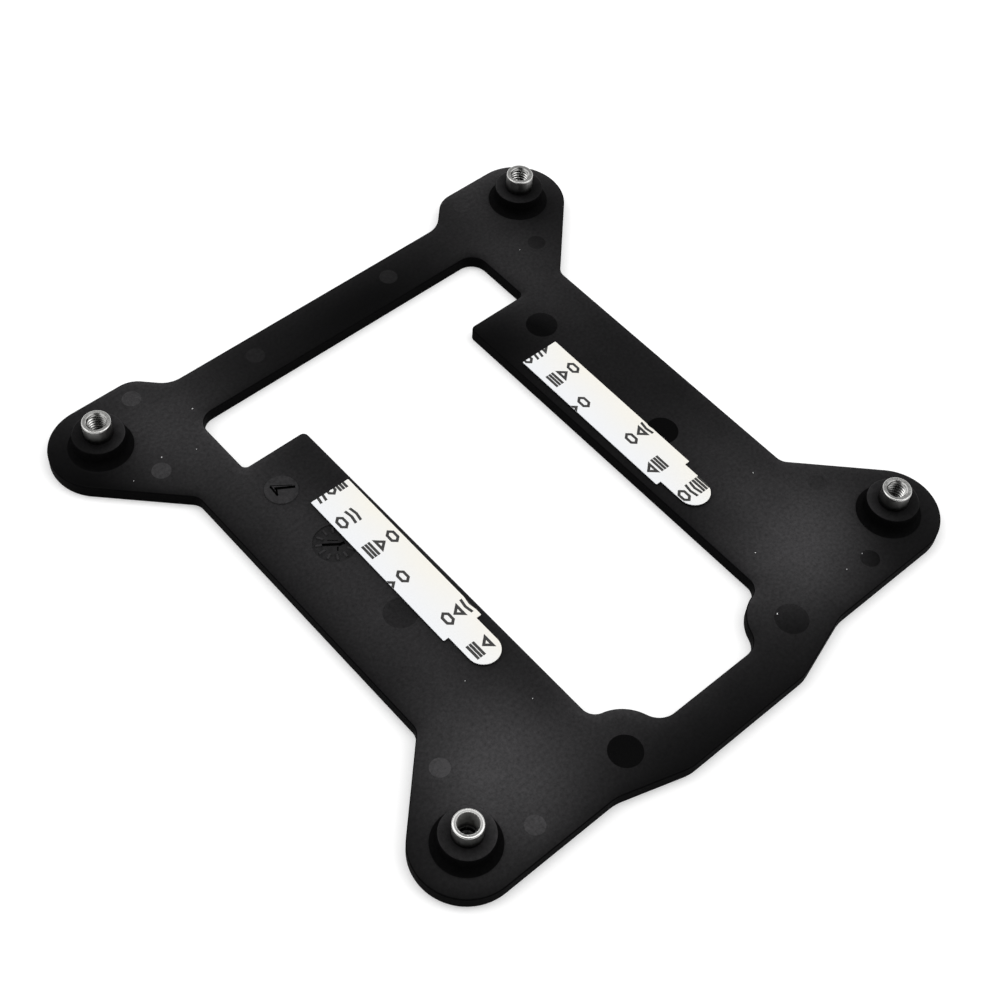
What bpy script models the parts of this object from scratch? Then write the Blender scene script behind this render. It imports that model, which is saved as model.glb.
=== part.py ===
"""Back bracket of a processor cooler, metres, +Z up, lying on its flat underside.

A moulded plate reaches round an opening and carries a threaded standoff on a boss at each corner
of a square pattern. A strip of double-sided tape lies on each arm under a release liner with a
pull tab. The origin is on the underside, at the middle of the plate's outline.
"""

import math

import bmesh
import bpy
from mathutils import Matrix, Vector

# Hole pattern and plate
POST_PITCH = 0.075
PLATE_THICKNESS = 0.002
PLATE_EDGE_ROUND = 0.00012
ROUNDED_EDGE_ANGLE = math.radians(60)
PAD_RADIUS = 0.0071

# Arms: the straight part between the corner pads
CHANNEL_WIDTH = 0.0298
ARM_WIDTH = 0.01755
ARM_CORNER_RADIUS = 0.002

# Top bar: its upper edge is lower than the pads, and a slope at 45 degrees joins the two
TOP_BAR_WIDTH = 0.0074
TOP_BAR_STEP = 0.004
TOP_BAR_SLOPE_X = 0.0261
TOP_BAR_BLEND_RADIUS = 0.004

# Window under the top bar, wider than the channel
WINDOW_WIDTH = 0.05
WINDOW_HEIGHT = 0.0108
WINDOW_TOP_RADIUS = 0.0025
WINDOW_FOOT_RADIUS = 0.0008

# Bottom bar: it hangs below the pads, with a shallow slope at each end
BOTTOM_BAR_WIDTH = 0.0068
BOTTOM_BAR_DROP = 0.003
BOTTOM_BAR_LENGTH = 0.0204
BOTTOM_SLOPE_RUN = 0.0098
BOTTOM_BAR_BLEND_RADIUS = 0.006

# Round lands that widen the bottom bar where it meets the arms
LAND_SPACING = 0.0297
LAND_RADIUS = 0.0059
LAND_CHANNEL_BLEND = 0.002
LAND_BAR_BLEND = 0.003

# Boss round each standoff
BOSS_RADIUS = 0.00358
BOSS_HEIGHT = 0.00275
BOSS_RIM_ROUND = 0.00018
BOSS_FLARE_RADIUS = 0.00115
BOSS_FLARE_SINK = 0.00003

# Standoff: a round barrel with a blind bore for an M3 screw, and a hexagonal head below
BARREL_RADIUS = 0.001945
BARREL_STAND = 0.00247
BARREL_EDGE_CHAMFER = 0.00012
BORE_RADIUS = 0.00125
BORE_DEPTH = 0.0052
BORE_MOUTH_RADIUS = 0.0016
DRILL_POINT_SLOPE = math.radians(31)
HEAD_ACROSS_FLATS = 0.006
HEAD_THICKNESS = 0.0014
HEAD_RECESS = 0.0001
STANDOFF_CLEARANCE = 0.0001

# Shallow round marks of the mould in the plate's upper face
MARK_DEPTH = 0.00008
PIN_MARK_RADIUS = 0.00145
DISC_MARK_RADIUS = 0.0024
DIAL_MARK_RADIUS = 0.003

# Mark centres from the middle of the post pattern, each mirrored to the other side
PIN_MARKS = (
    (0.012, 0.0373),
    (0.0298, 0.0416),
    (0.0337, 0.029),
    (0.0336, -0.0281),
    (0.02985, -0.041),
)
DISC_MARKS = (
    (0.02335, 0.01645),
    (0.02335, -0.0083),
)
DIAL_MARK = (-0.0231, 0.00535)

# Tape strips and their liners, laid by hand a little off the middle of the plate
STRIP_WIDTH = 0.0062
STRIP_LENGTH = 0.0273
STRIP_CORNER_RADIUS = 0.0001
STRIP_SPACING = 0.038
STRIP_SIDE_SHIFT = 0.0004
STRIP_TOP = {"left": 0.0122, "right": 0.0127}
STRIP_TURN = math.radians(-0.5)
TAPE_THICKNESS = 0.0002
TAB_WIDTH = 0.0046
TAB_LENGTH = 0.0063
LINER_THICKNESS = 0.0001
LAYER_GAP = 0.00002

# Facets and shading, and the decimals of a metre that keep outline points in line exactly in line
POINT_DECIMALS = 7
MERGE_DISTANCE = 1e-7
SHARP_ANGLE = math.radians(30)
ARC_STEP = math.radians(9)
PROFILE_STEP = math.radians(18)
ROUND_SEGMENTS = 40
MARK_SEGMENTS = 24

# Places that follow from the sizes above
POST = POST_PITCH / 2
PAD_REACH = POST + PAD_RADIUS
BAR_REACH = PAD_REACH + BOTTOM_BAR_DROP
PATTERN_Y = (BAR_REACH - PAD_REACH) / 2
ARM_OUTER = CHANNEL_WIDTH / 2 + ARM_WIDTH
TOP_BAR_UPPER = PAD_REACH - TOP_BAR_STEP
TOP_BAR_LOWER = TOP_BAR_UPPER - TOP_BAR_WIDTH
WINDOW_FOOT = TOP_BAR_LOWER - WINDOW_HEIGHT
BOTTOM_BAR_INNER = -BAR_REACH + BOTTOM_BAR_WIDTH
BOSS_TOP = PLATE_THICKNESS + BOSS_HEIGHT
BARREL_TOP = BOSS_TOP + BARREL_STAND
HEAD_TOP = HEAD_RECESS + HEAD_THICKNESS


def arc(centre, radius, start, end, step=ARC_STEP):
    """Points along an arc from one angle to the other, both ends included."""
    steps = max(1, math.ceil(abs(end - start) / step - 1e-6))
    points = []
    for i in range(steps + 1):
        angle = start + (end - start) * i / steps
        points.append((centre[0] + radius * math.cos(angle), centre[1] + radius * math.sin(angle)))
    return points


def rounded(corners):
    """Closed outline of corners (x, y, radius), with each corner replaced by its tangent arc."""
    outline = []
    for i, (x, y, radius) in enumerate(corners):
        corner = Vector((x, y))
        back = (Vector(corners[i - 1][:2]) - corner).normalized()
        ahead = (Vector(corners[(i + 1) % len(corners)][:2]) - corner).normalized()
        if radius == 0:
            arc_points = [(x, y)]
        else:
            half = back.angle(ahead) / 2
            centre = corner + (back + ahead).normalized() * radius / math.sin(half)
            first = corner + back * radius / math.tan(half) - centre
            last = corner + ahead * radius / math.tan(half) - centre
            start = math.atan2(first.y, first.x)
            turn = math.remainder(math.atan2(last.y, last.x) - start, math.tau)
            arc_points = arc(centre, radius, start, start + turn)
        for point in arc_points:
            point = (round(point[0], POINT_DECIMALS), round(point[1], POINT_DECIMALS))
            if point not in outline[-1:]:
                outline.append(point)
    if outline[0] == outline[-1]:
        outline.pop()
    return outline


def mirrored(half):
    """Whole outline from its right half, whose corners run from the bottom to the top."""
    return half + [(-x, y, radius) for x, y, radius in reversed(half)]


def plate_outline():
    """Outer edge of the plate: pads round the posts, waisted arms and two offset bars."""
    tangent = PAD_RADIUS * math.tan(math.radians(22.5))
    arm_start = ARM_OUTER - PAD_RADIUS * math.sqrt(2)
    slope = TOP_BAR_STEP / 2
    bar_end = BOTTOM_BAR_LENGTH / 2
    half = [
        (bar_end, -BAR_REACH, BOTTOM_BAR_BLEND_RADIUS),
        (bar_end + BOTTOM_SLOPE_RUN, -PAD_REACH, BOTTOM_BAR_BLEND_RADIUS),
        (PAD_REACH, -PAD_REACH, PAD_RADIUS),
        (PAD_REACH, tangent - POST, PAD_RADIUS),
        (ARM_OUTER, -arm_start, ARM_CORNER_RADIUS),
        (ARM_OUTER, arm_start, ARM_CORNER_RADIUS),
        (PAD_REACH, POST - tangent, PAD_RADIUS),
        (PAD_REACH, PAD_REACH, PAD_RADIUS),
        (TOP_BAR_SLOPE_X + slope, PAD_REACH, TOP_BAR_BLEND_RADIUS),
        (TOP_BAR_SLOPE_X - slope, TOP_BAR_UPPER, TOP_BAR_BLEND_RADIUS),
    ]
    return rounded(mirrored(half))


def land_corners():
    """Edge of the right land, from the bottom bar up to the channel's side, as arcs that blend."""
    land = Vector((LAND_SPACING / 2, BOTTOM_BAR_INNER))
    side = CHANNEL_WIDTH / 2
    bar_reach = LAND_RADIUS + LAND_BAR_BLEND
    bar_blend = land + Vector((-math.sqrt(bar_reach**2 - LAND_BAR_BLEND**2), LAND_BAR_BLEND))
    side_reach = LAND_RADIUS + LAND_CHANNEL_BLEND
    across = side - LAND_CHANNEL_BLEND - land.x
    side_blend = land + Vector((across, math.sqrt(side_reach**2 - across**2)))
    to_bar = math.atan2(bar_blend.y - land.y, bar_blend.x - land.x)
    to_side = math.atan2(side_blend.y - land.y, side_blend.x - land.x)
    points = arc(bar_blend, LAND_BAR_BLEND, -math.pi / 2, to_bar - math.pi)
    points += arc(land, LAND_RADIUS, to_bar, to_side)[1:-1]
    points += arc(side_blend, LAND_CHANNEL_BLEND, to_side - math.pi, 0)
    return [(x, y, 0) for x, y in points]


def opening_outline():
    """Edge of the opening: lands at the bottom, the channel between the arms, and the window."""
    side = CHANNEL_WIDTH / 2
    window = WINDOW_WIDTH / 2
    half = land_corners() + [
        (side, WINDOW_FOOT, WINDOW_FOOT_RADIUS),
        (window, WINDOW_FOOT, WINDOW_FOOT_RADIUS),
        (window, TOP_BAR_LOWER, WINDOW_TOP_RADIUS),
    ]
    return rounded(mirrored(half))


def strip_outline():
    """Outline of a tape strip, with its upper end at y = 0."""
    side = STRIP_WIDTH / 2
    return rounded([
        (-side, -STRIP_LENGTH, STRIP_CORNER_RADIUS),
        (side, -STRIP_LENGTH, STRIP_CORNER_RADIUS),
        (side, 0, STRIP_CORNER_RADIUS),
        (-side, 0, STRIP_CORNER_RADIUS),
    ])


def liner_outline():
    """Outline of a liner: the strip's own, with a round-ended pull tab beyond its lower end."""
    side = STRIP_WIDTH / 2
    tab = TAB_WIDTH / 2
    tab_end = arc((0, -STRIP_LENGTH - TAB_LENGTH + tab), tab, -math.pi, 0)
    return rounded([
        (-side, 0, STRIP_CORNER_RADIUS),
        (-side, -STRIP_LENGTH, STRIP_CORNER_RADIUS),
        (-tab, -STRIP_LENGTH, 0),
        *[(x, y, 0) for x, y in tab_end],
        (tab, -STRIP_LENGTH, 0),
        (side, -STRIP_LENGTH, STRIP_CORNER_RADIUS),
        (side, 0, STRIP_CORNER_RADIUS),
    ])


def principled(name, colour, roughness, metallic=0.0):
    """Material with a sub-part's colour, roughness and metallic value."""
    material = bpy.data.materials.new(name)
    material.use_nodes = True
    shader = material.node_tree.nodes["Principled BSDF"]
    shader.inputs["Base Color"].default_value = (*colour, 1)
    shader.inputs["Roughness"].default_value = roughness
    shader.inputs["Metallic"].default_value = metallic
    return material


def add_object(name, mesh, collection, material=None):
    """Object of a mesh in a collection; one with no material is a cutter and stays out of renders."""
    thing = bpy.data.objects.new(name, mesh)
    collection.objects.link(thing)
    mesh.shade_smooth()
    mesh.set_sharp_from_angle(angle=SHARP_ANGLE)
    if material:
        mesh.materials.append(material)
    else:
        thing.hide_render = True
        thing.display_type = "WIRE"
    return thing


def face_outwards(work):
    """Turn all faces of a closed shape outwards."""
    bmesh.ops.recalc_face_normals(work, faces=work.faces)
    if work.calc_volume(signed=True) < 0:
        bmesh.ops.reverse_faces(work, faces=work.faces)


def sheet_mesh(name, outline, bottom, top):
    """Mesh of an upright sheet or block with the given outline."""
    curve = bpy.data.curves.new(name, "CURVE")
    curve.dimensions = "2D"
    curve.fill_mode = "BOTH"
    curve.extrude = (top - bottom) / 2
    spline = curve.splines.new("POLY")
    spline.points.add(len(outline) - 1)
    for point, (x, y) in zip(spline.points, outline):
        point.co = (x, y, 0, 1)
    spline.use_cyclic_u = True
    drawing = bpy.data.objects.new(name + "_outline", curve)
    bpy.context.scene.collection.objects.link(drawing)
    depsgraph = bpy.context.evaluated_depsgraph_get()
    mesh = bpy.data.meshes.new_from_object(drawing.evaluated_get(depsgraph))
    mesh.name = name
    bpy.data.objects.remove(drawing)
    bpy.data.curves.remove(curve)
    work = bmesh.new()
    work.from_mesh(mesh)
    bmesh.ops.remove_doubles(work, verts=work.verts, dist=MERGE_DISTANCE)
    for side in (-1, 1):
        cap = [face for face in work.faces if all(side * vert.co.z > 0 for vert in face.verts)]
        bmesh.ops.dissolve_faces(work, faces=cap)
    bmesh.ops.translate(work, verts=work.verts, vec=(0, 0, (bottom + top) / 2))
    face_outwards(work)
    work.to_mesh(mesh)
    work.free()
    return mesh


def turned_mesh(name, profile, places=((0, 0),)):
    """Mesh of a turned piece at each place; its profile (radius, height) ends on the axis."""
    work = bmesh.new()
    vertices = [work.verts.new((radius, 0, height)) for radius, height in profile]
    edges = [work.edges.new(pair) for pair in zip(vertices, vertices[1:])]
    bmesh.ops.spin(
        work,
        geom=vertices + edges,
        cent=(0, 0, 0),
        axis=(0, 0, 1),
        angle=math.tau,
        steps=ROUND_SEGMENTS,
        use_merge=True,
    )
    bmesh.ops.remove_doubles(work, verts=work.verts, dist=MERGE_DISTANCE)
    face_outwards(work)
    return copied_to_places(name, work, places)


def prism_mesh(name, segments, radius, bottom, top, places):
    """Mesh of an upright prism or cylinder at each place."""
    work = bmesh.new()
    bmesh.ops.create_cone(
        work,
        cap_ends=True,
        segments=segments,
        radius1=radius,
        radius2=radius,
        depth=top - bottom,
        matrix=Matrix.Translation((0, 0, (bottom + top) / 2)),
    )
    return copied_to_places(name, work, places)


def copied_to_places(name, work, places):
    """Mesh that holds a copy of the shape at each place; it uses the shape up."""
    shape = bpy.data.meshes.new(name + "_shape")
    work.to_mesh(shape)
    work.free()
    copies = bmesh.new()
    for x, y in places:
        start = len(copies.verts)
        copies.from_mesh(shape)
        bmesh.ops.translate(copies, verts=copies.verts[start:], vec=(x, y, 0))
    mesh = bpy.data.meshes.new(name)
    copies.to_mesh(mesh)
    copies.free()
    bpy.data.meshes.remove(shape)
    return mesh


def combine(target, other, operation):
    """Boolean of another object into the target, as a modifier."""
    modifier = target.modifiers.new(other.name, "BOOLEAN")
    modifier.operation = operation
    modifier.solver = "EXACT"
    modifier.object = other


def post_places():
    """Centres of the posts by name, as seen from above with the bottom bar nearest."""
    places = {}
    for end, y in (("front", PATTERN_Y - POST), ("rear", PATTERN_Y + POST)):
        for side, x in (("left", -POST), ("right", POST)):
            places[f"{end}_{side}"] = (x, y)
    return places


def both_sides(marks):
    """Places of mirrored marks, moved from the post pattern's frame to the plate's."""
    return [(side * x, PATTERN_Y + y) for x, y in marks for side in (-1, 1)]


def hexagon_radius(across_flats):
    """Corner radius of a hexagon."""
    return across_flats / math.sqrt(3)


def boss_profile():
    """Half section of a boss: rounded rim, straight side and a flare that runs into the plate."""
    rim_centre = (BOSS_RADIUS - BOSS_RIM_ROUND, BOSS_TOP - BOSS_RIM_ROUND)
    rim = arc(rim_centre, BOSS_RIM_ROUND, math.pi / 2, 0, 2 * PROFILE_STEP)
    flare_centre = (
        BOSS_RADIUS + BOSS_FLARE_RADIUS,
        PLATE_THICKNESS - BOSS_FLARE_SINK + BOSS_FLARE_RADIUS,
    )
    flare = arc(flare_centre, BOSS_FLARE_RADIUS, math.pi, 1.5 * math.pi, PROFILE_STEP)
    root = PLATE_THICKNESS / 2
    return [(0, BOSS_TOP), *rim, *flare, (flare[-1][0], root), (0, root)]


def barrel_profile():
    """Half section of a standoff's barrel, from the bore's point out over the top and down."""
    bore_end = BARREL_TOP - BORE_DEPTH
    drill_point = bore_end - BORE_RADIUS * math.tan(DRILL_POINT_SLOPE)
    mouth = BORE_MOUTH_RADIUS - BORE_RADIUS
    root = HEAD_RECESS + HEAD_THICKNESS / 2
    return [
        (0, drill_point),
        (BORE_RADIUS, bore_end),
        (BORE_RADIUS, BARREL_TOP - mouth),
        (BORE_MOUTH_RADIUS, BARREL_TOP),
        (BARREL_RADIUS - BARREL_EDGE_CHAMFER, BARREL_TOP),
        (BARREL_RADIUS, BARREL_TOP - BARREL_EDGE_CHAMFER),
        (BARREL_RADIUS, root),
        (0, root),
    ]


def mark_mesh():
    """Cutter for all round marks in the plate's upper face."""
    lands = [(LAND_SPACING / 2, BOTTOM_BAR_INNER)]
    marks = bmesh.new()
    for radius, places in (
        (PIN_MARK_RADIUS, both_sides(PIN_MARKS)),
        (DISC_MARK_RADIUS, both_sides([*DISC_MARKS, *lands])),
        (DIAL_MARK_RADIUS, [(DIAL_MARK[0], PATTERN_Y + DIAL_MARK[1])]),
    ):
        discs = prism_mesh(
            "discs", MARK_SEGMENTS, radius, PLATE_THICKNESS - MARK_DEPTH, 2 * PLATE_THICKNESS, places,
        )
        marks.from_mesh(discs)
        bpy.data.meshes.remove(discs)
    mesh = bpy.data.meshes.new("mould_marks")
    marks.to_mesh(mesh)
    marks.free()
    return mesh


def make_plate(collection, cutters, material):
    """Moulded plate: flat ring, four bosses, seats for the standoffs and the mould's marks."""
    outline, opening = (
        [(x, y + PATTERN_Y) for x, y in points]
        for points in (plate_outline(), opening_outline())
    )
    blank = sheet_mesh("bracket_plate", outline, 0, PLATE_THICKNESS)
    plate = add_object("bracket_plate", blank, collection, material)
    opening_block = sheet_mesh("opening", opening, -PLATE_THICKNESS, 2 * PLATE_THICKNESS)
    combine(plate, add_object("opening", opening_block, cutters), "DIFFERENCE")
    edge = plate.modifiers.new("edge_round", "BEVEL")
    edge.width = PLATE_EDGE_ROUND
    edge.segments = 1
    edge.limit_method = "ANGLE"
    edge.angle_limit = ROUNDED_EDGE_ANGLE
    posts = list(post_places().values())
    bosses = turned_mesh("bosses", boss_profile(), posts)
    combine(plate, add_object("bosses", bosses, cutters), "UNION")
    bores = prism_mesh(
        "standoff_bores", ROUND_SEGMENTS, BARREL_RADIUS + STANDOFF_CLEARANCE,
        -PLATE_THICKNESS, BOSS_TOP + PLATE_THICKNESS, posts,
    )
    combine(plate, add_object("standoff_bores", bores, cutters), "DIFFERENCE")
    pockets = prism_mesh(
        "head_pockets", 6, hexagon_radius(HEAD_ACROSS_FLATS + 2 * STANDOFF_CLEARANCE),
        -PLATE_THICKNESS, HEAD_TOP + STANDOFF_CLEARANCE, posts,
    )
    combine(plate, add_object("head_pockets", pockets, cutters), "DIFFERENCE")
    combine(plate, add_object("mould_marks", mark_mesh(), cutters), "DIFFERENCE")
    return plate


def make_standoffs(collection, cutters, material):
    """Four threaded standoffs, each a turned barrel on a hexagonal head."""
    barrel = turned_mesh("standoff_barrel", barrel_profile())
    head = prism_mesh(
        "standoff_head", 6, hexagon_radius(HEAD_ACROSS_FLATS), HEAD_RECESS, HEAD_TOP, [(0, 0)],
    )
    for place, (x, y) in post_places().items():
        standoff = add_object(f"standoff_{place}", barrel.copy(), collection, material)
        standoff.location = (x, y, 0)
        head_part = add_object(f"head_{place}", head.copy(), cutters)
        head_part.location = standoff.location
        combine(standoff, head_part, "UNION")


def make_strips(collection, tape_material, liner_material):
    """Tape strip and release liner on each arm."""
    tape_bottom = PLATE_THICKNESS + LAYER_GAP
    tape_top = tape_bottom + TAPE_THICKNESS
    liner_bottom = tape_top + LAYER_GAP
    liner_top = liner_bottom + LINER_THICKNESS
    for side, sign in (("left", -1), ("right", 1)):
        x = sign * STRIP_SPACING / 2 + STRIP_SIDE_SHIFT
        y = PATTERN_Y + STRIP_TOP[side]
        tape_mesh = sheet_mesh(f"tape_strip_{side}", strip_outline(), tape_bottom, tape_top)
        tape = add_object(f"tape_strip_{side}", tape_mesh, collection, tape_material)
        tape.location = (x, y, 0)
        tape.rotation_euler.z = STRIP_TURN
        liner_mesh = sheet_mesh(f"release_liner_{side}", liner_outline(), liner_bottom, liner_top)
        liner = add_object(f"release_liner_{side}", liner_mesh, collection, liner_material)
        liner.location = (x, y, 0)
        liner.rotation_euler.z = STRIP_TURN


def main():
    for thing in list(bpy.data.objects):
        bpy.data.objects.remove(thing, do_unlink=True)
    collection = bpy.data.collections.new("cpu_cooler_bracket")
    cutters = bpy.data.collections.new("cutters")
    bpy.context.scene.collection.children.link(collection)
    bpy.context.scene.collection.children.link(cutters)
    plastic = principled("black_plastic", (0.016, 0.016, 0.018), 0.5)
    metal = principled("plated_steel", (0.75, 0.75, 0.76), 0.25, 1.0)
    tape = principled("black_tape", (0.02, 0.02, 0.02), 0.8)
    paper = principled("liner_paper", (0.85, 0.85, 0.82), 0.45)
    make_plate(collection, cutters, plastic)
    make_standoffs(collection, cutters, metal)
    make_strips(collection, tape, paper)


main()
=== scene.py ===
"""Looks of the back bracket of a processor cooler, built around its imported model.

Lengths are in millimetres until a mesh is finished, and then in metres, +Z up. Places on the plate
are counted from the middle of the post pattern unless a name says otherwise.
"""

import math

import bmesh
import bpy
from mathutils import Matrix, Vector, geometry
from mathutils.kdtree import KDTree


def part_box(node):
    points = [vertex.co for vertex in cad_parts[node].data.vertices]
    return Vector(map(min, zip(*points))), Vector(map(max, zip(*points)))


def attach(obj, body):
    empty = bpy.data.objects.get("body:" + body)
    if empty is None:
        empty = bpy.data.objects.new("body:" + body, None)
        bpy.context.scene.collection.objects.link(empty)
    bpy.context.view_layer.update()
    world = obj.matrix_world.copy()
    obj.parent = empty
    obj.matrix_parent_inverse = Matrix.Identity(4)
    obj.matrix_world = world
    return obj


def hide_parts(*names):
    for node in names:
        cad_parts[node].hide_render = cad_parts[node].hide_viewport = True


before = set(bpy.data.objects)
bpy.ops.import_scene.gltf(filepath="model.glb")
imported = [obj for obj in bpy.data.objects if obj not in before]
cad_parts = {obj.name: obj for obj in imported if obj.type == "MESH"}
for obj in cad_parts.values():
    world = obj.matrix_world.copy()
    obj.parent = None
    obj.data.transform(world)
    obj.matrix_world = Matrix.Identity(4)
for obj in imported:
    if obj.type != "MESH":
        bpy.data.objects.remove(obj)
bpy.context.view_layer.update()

MM = 0.001

# Plate
POST_PITCH = 75.0
PLATE_THICKNESS = 2.0
PLATE_EDGE_ROUND = 0.2
PLATE_FOOT_ROUND = 0.12
PAD_RADIUS = 7.1
CHANNEL_WIDTH = 29.8
ARM_WIDTH = 17.55
ARM_CORNER_RADIUS = 2.0
TOP_BAR_WIDTH = 7.4
TOP_BAR_STEP = 4.0
TOP_BAR_SLOPE_X = 26.1
TOP_BAR_BLEND_RADIUS = 4.0
WINDOW_WIDTH = 50.0
WINDOW_HEIGHT = 10.8
WINDOW_TOP_RADIUS = 2.5
WINDOW_FOOT_RADIUS = 0.8
BOTTOM_BAR_WIDTH = 6.8
BOTTOM_BAR_DROP = 3.0
BOTTOM_BAR_LENGTH = 20.4
BOTTOM_SLOPE_RUN = 9.8
BOTTOM_BAR_BLEND_RADIUS = 6.0
LAND_SPACING = 29.7
LAND_RADIUS = 5.9
LAND_CHANNEL_BLEND = 2.0
LAND_BAR_BLEND = 3.0

# Bosses and the seats of the standoffs
BOSS_RADIUS = 3.58
BOSS_HEIGHT = 2.75
BOSS_RIM_ROUND = 0.25
BOSS_FLARE_RADIUS = 1.15
SEAT_CLEARANCE = 0.03
POCKET_CLEARANCE = 0.1

# Standoffs
BARREL_RADIUS = 1.945
BARREL_EDGE_ROUND = 0.15
BORE_RADIUS = 1.23
BORE_DEPTH = 5.2
BORE_MOUTH_RADIUS = 1.42
RIM_DROP = 0.02
DRILL_POINT_SLOPE = math.radians(31)
THREAD_PITCH = 0.5
THREAD_DEPTH = 0.26
# How far down the thread starts where its bore has a plain lead-in, and how matt that wall is
# where the barrel is 1
THREAD_START = {"standoff_front_left": 3.6}
LEAD_IN_MATT = 4.0
# Section of the thread over one pitch: share of the pitch, share of the depth
THREAD_SECTION = ((0, 0), (0.1, 0), (0.2, 0), (0.36, 0.5), (0.52, 1), (0.66, 1), (0.83, 0.5))
HEAD_ACROSS_FLATS = 6.0
HEAD_THICKNESS = 1.4
HEAD_CHAMFER = 0.2
# Dirt and painted shade, from 0 to 1: up the barrel by height over the boss, darkest at its foot,
# and a dark ring painted across the rim by radius
BARREL_DIRT_AND_SHADE = ((0.0, 1.0), (0.5, 0.95), (1.0, 0.75), (1.6, 0.6), (2.2, 0.45))
RIM_DARK_RING = ((1.64, 0.0), (1.58, 0.4), (1.52, 0.0))
HEAD_DIRT = 0.45
# Depths in the bore from which its wall is painted dark as shade, and fully dark
BORE_SHADE_DEPTHS = (2.4, 3.6)
# Least dirt across the rim of a post that is more stained than the others
RIM_STAIN = {"standoff_front_left": 0.7}

# Round marks of the mould
MARK_RELIEF = 0.02
MARK_SLOPE = 0.12
PIN_MARK_RADIUS = 1.45
DISC_MARK_RADIUS = 2.4

# Numbered disc, which stands proud of the plate, and the strokes engraved in it
LABEL_RISE = 0.16
LABEL_TONE = 0.4
LABEL_PLACE = (-23.35, 16.45)
STROKE_DEPTH = 0.25
# The strokes' faces are painted dark as the shade in their grooves
STROKE_PAINTED_SHADE = -1.5
# Each stroke: width, then its points
LABEL_STROKES = (
    (0.42, (-23.8, 17.05), (-21.8, 15.8)),
    (0.12, (-24.1, 17.85), (-21.85, 16.2)),
    (0.3, (-24.2, 17.65), (-24.3, 16.1)),
    (0.26, (-24.25, 16.15), (-23.8, 16.95)),
)

# Dial of the mould, with raised ticks and an engraved needle
DIAL_PLACE = (-23.1, 5.35)
DIAL_RADIUS = 3.0
DIAL_DEPTH = 0.2
DIAL_TONE = -0.25
DIAL_TICKS = 12
DIAL_TICK_SPAN = (1.6, 2.7)
DIAL_TICK_WIDTH = 0.5
DIAL_TICK_HEIGHT = 0.16
# The ticks are toned paler as a painted highlight on them
DIAL_TICK_PAINTED_HIGHLIGHT = 0.35
DIAL_STROKES = (
    (0.44, (-24.35, 6.15), (-22.65, 4.9), (-22.2, 4.8)),
    (0.12, (-23.5, 6.4), (-22.5, 5.55)),
    (0.2, (-23.15, 4.7), (-23.45, 4.35)),
)

# Release liners
STRIP_WIDTH = 6.2
STRIP_LENGTH = 27.3
STRIP_CORNER_RADIUS = 0.12
STRIP_TURN = math.radians(-0.5)
TAB_WIDTH = 4.6
TAB_LENGTH = 6.3
LINER_THICKNESS = 0.1
TAB_LIFT = 0.12

# Print on the liners: rows of generic marks from the strip's upper end: kind, x, y, and half turns
PRINT_HEIGHT = 2.4
PRINT_WIDTH = 1.4
PRINT_STROKE = 0.4
PRINT_LEFT = (
    ("chevrons", -1.6, 0.2, 0), ("ring", 0.2, 0.2, 0), ("bars", 1.7, 0.2, 0),
    ("ring", -1.9, -5.1, 0), ("chevrons", 0.0, -5.1, 0),
    ("bars", -1.7, -10.9, 0), ("triangle", 0.1, -10.9, 0), ("ring", 1.9, -10.9, 0),
    ("triangle", -2.9, -16.6, 0), ("ring", -1.0, -16.6, 0),
    ("ring", -0.6, -25.1, 1), ("triangle", 1.0, -25.1, 1), ("chevrons", 2.8, -25.1, 1),
    ("bars", -0.9, -30.9, 1), ("triangle", 0.8, -30.9, 1),
)
PRINT_RIGHT = (
    ("ring", -2.2, 0.2, 0), ("chevrons", -0.5, 0.2, 0), ("triangle", 1.2, 0.2, 0),
    ("bars", -1.7, -5.2, 0), ("triangle", 0.1, -5.2, 0), ("ring", 1.8, -5.2, 0),
    ("triangle", -3.0, -10.7, 0), ("ring", -1.2, -10.7, 0),
    ("ring", -0.4, -19.5, 1), ("triangle", 1.3, -19.5, 1), ("chevrons", 2.9, -19.5, 1),
    ("triangle", -2.0, -25.0, 1), ("bars", -0.3, -25.0, 1),
    ("ring", -1.5, -31.0, 1), ("chevrons", 0.2, -31.0, 1), ("bars", 1.7, -31.0, 1),
)

# Patches of painted sheen that make the plate paler, or of painted shade that make it darker where
# below 0: x, y, reach along x, reach along y and strength, over the strength of the whole plate
PLATE_BASE_TONE = 0.15
PAINTED_LIGHT_PATCHES = (
    (-30, -33, 10, 11, 0.69), (25, -34, 12, 9, 0.64), (-31, 34, 9, 11, 0.53), (38, 43, 8, 9, 0.46),
    (-25, 0, 6, 29, 0.27), (26, -19, 6, 9, 0.24), (27, 26, 7, 12, 0.28), (5, 35, 17, 5, -0.13),
    (-11, -49, 26, 16, -0.12), (17, 18, 9, 7, -0.14), (-43, -27, 10, 8, -0.22),
    (34, -40, 7, 5, -0.22), (38, 38, 5, 6, -0.35), (-38, 33, 12, 11, -0.27), (-7, -35, 14, 7, 0.28),
)
# Edges with painted light: the way that the ones painted paler face, then the share that they gain
# and the others, painted darker as shade, lose at most, each with the distance over which it fades
PAINTED_LIT_EDGE_WAY = (0.7, 0.714)
PAINTED_LIT_EDGE = (1.0, 0.7)
PAINTED_SHADED_EDGE = (0.8, 1.0)
# Bosses: over the top, painted shade by the seat rising to a painted highlight at the rim; and
# where the painted shadow that darkens the wall and the flare ends
BOSS_TOP_PAINTED_LIGHT = (0.45, 1.15)
BOSS_PAINTED_SHADOW = (3.95, 4.65)

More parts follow.
